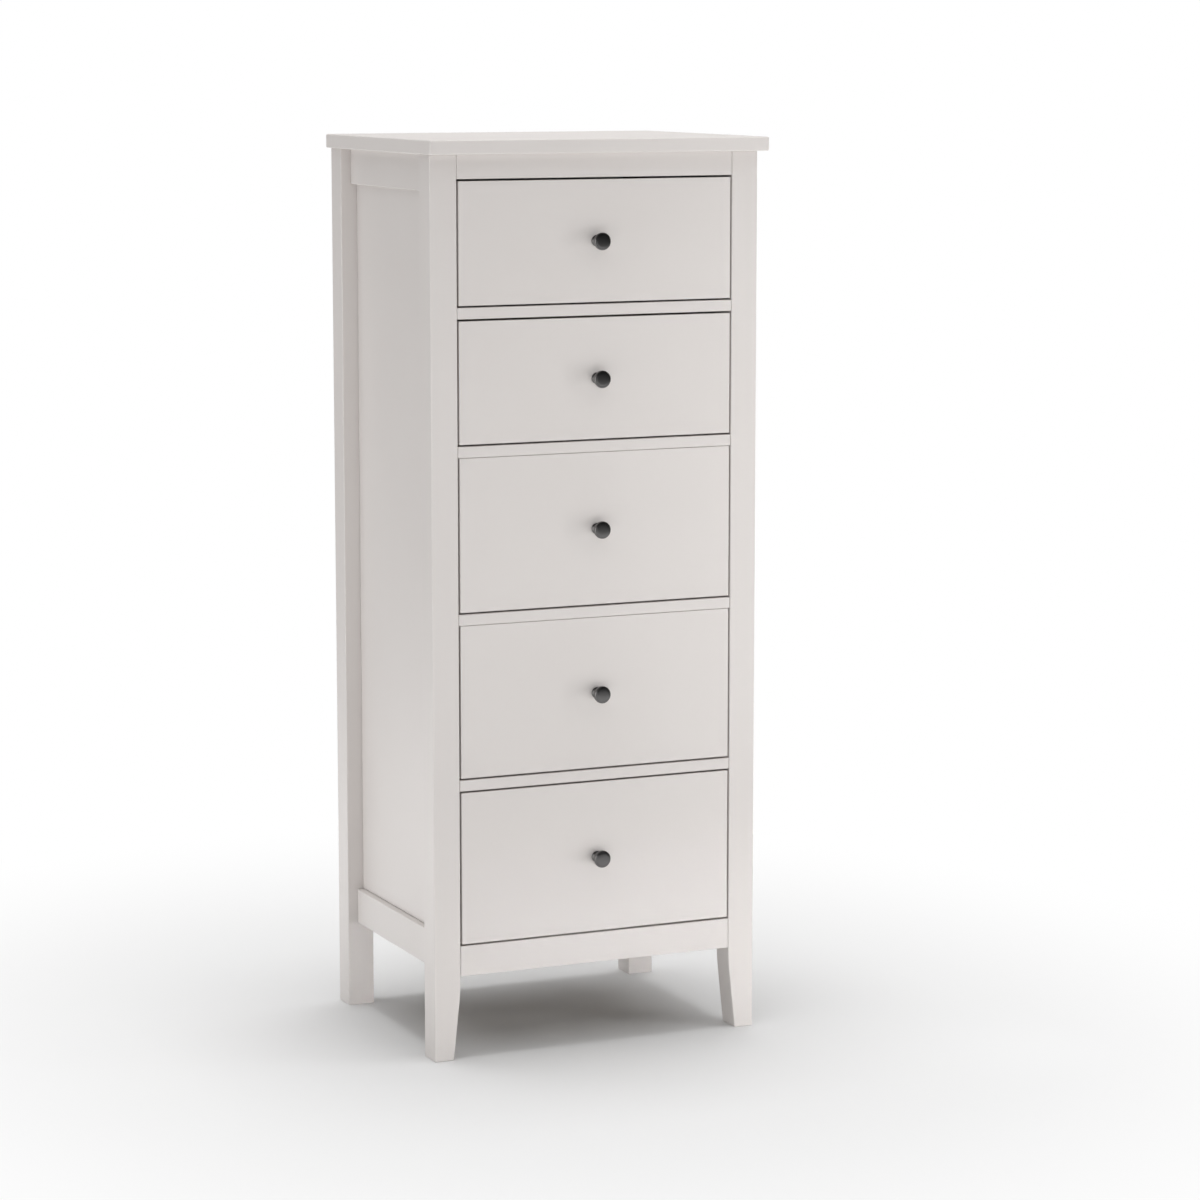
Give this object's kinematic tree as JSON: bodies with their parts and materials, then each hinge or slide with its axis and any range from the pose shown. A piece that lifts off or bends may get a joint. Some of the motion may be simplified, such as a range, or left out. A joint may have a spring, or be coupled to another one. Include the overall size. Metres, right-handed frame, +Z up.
{
  "type": "chest of drawers",
  "caption": "Tall narrow chest of drawers: frame of square legs with panelled sides, inset drawers on wooden runners, a slab top and round turned knobs.",
  "frame": {"origin": "on the floor, at the middle of the bounding box seen from above", "axes": "+Z up, -Y the way the drawers open (the front), +X to the right of someone who faces the front"},
  "size_m": [0.518, 0.414, 1.3],
  "materials": {
    "lacquered_wood": "satin warm light grey lacquer",
    "drawer_wood": "plain sanded pale wood",
    "hardboard": "smooth thin fibreboard, painted light grey on its face",
    "knob_metal": "satin graphite"
  },
  "bodies": {
    "carcass": {"top_panel": "lacquered_wood", "front_leg_left": "lacquered_wood", "front_leg_right": "lacquered_wood", "rear_leg_left": "lacquered_wood", "rear_leg_right": "lacquered_wood", "side_panel_left": "lacquered_wood", "side_panel_right": "lacquered_wood", "side_top_rail_left": "lacquered_wood", "side_top_rail_right": "lacquered_wood", "side_bottom_rail_left": "lacquered_wood", "side_bottom_rail_right": "lacquered_wood", "front_top_rail": "lacquered_wood", "front_rail_1": "lacquered_wood", "front_rail_2": "lacquered_wood", "front_rail_3": "lacquered_wood", "front_rail_4": "lacquered_wood", "front_apron": "lacquered_wood", "back_top_rail": "lacquered_wood", "back_bottom_rail": "lacquered_wood", "back_panel": "hardboard", "runner_1_left": "drawer_wood", "runner_1_right": "drawer_wood", "runner_2_left": "drawer_wood", "runner_2_right": "drawer_wood", "runner_3_left": "drawer_wood", "runner_3_right": "drawer_wood", "runner_4_left": "drawer_wood", "runner_4_right": "drawer_wood", "runner_5_left": "drawer_wood", "runner_5_right": "drawer_wood"},
    "drawer_1": {"drawer_1_front": "lacquered_wood", "drawer_1_side_left": "drawer_wood", "drawer_1_side_right": "drawer_wood", "drawer_1_back": "drawer_wood", "drawer_1_bottom": "hardboard", "drawer_1_knob": "knob_metal"},
    "drawer_2": {"drawer_2_front": "lacquered_wood", "drawer_2_side_left": "drawer_wood", "drawer_2_side_right": "drawer_wood", "drawer_2_back": "drawer_wood", "drawer_2_bottom": "hardboard", "drawer_2_knob": "knob_metal"},
    "drawer_3": {"drawer_3_front": "lacquered_wood", "drawer_3_side_left": "drawer_wood", "drawer_3_side_right": "drawer_wood", "drawer_3_back": "drawer_wood", "drawer_3_bottom": "hardboard", "drawer_3_knob": "knob_metal"},
    "drawer_4": {"drawer_4_front": "lacquered_wood", "drawer_4_side_left": "drawer_wood", "drawer_4_side_right": "drawer_wood", "drawer_4_back": "drawer_wood", "drawer_4_bottom": "hardboard", "drawer_4_knob": "knob_metal"},
    "drawer_5": {"drawer_5_front": "lacquered_wood", "drawer_5_side_left": "drawer_wood", "drawer_5_side_right": "drawer_wood", "drawer_5_back": "drawer_wood", "drawer_5_bottom": "hardboard", "drawer_5_knob": "knob_metal"}
  },
  "joints": [
    {"name": "drawer_1_slide", "type": "slide", "parent": "carcass", "child": "drawer_1", "axis": [0, -1, 0], "range_m": [0, 0.26]},
    {"name": "drawer_2_slide", "type": "slide", "parent": "carcass", "child": "drawer_2", "axis": [0, -1, 0], "range_m": [0, 0.26]},
    {"name": "drawer_3_slide", "type": "slide", "parent": "carcass", "child": "drawer_3", "axis": [0, -1, 0], "range_m": [0, 0.26]},
    {"name": "drawer_4_slide", "type": "slide", "parent": "carcass", "child": "drawer_4", "axis": [0, -1, 0], "range_m": [0, 0.26]},
    {"name": "drawer_5_slide", "type": "slide", "parent": "carcass", "child": "drawer_5", "axis": [0, -1, 0], "range_m": [0, 0.26]}
  ]
}
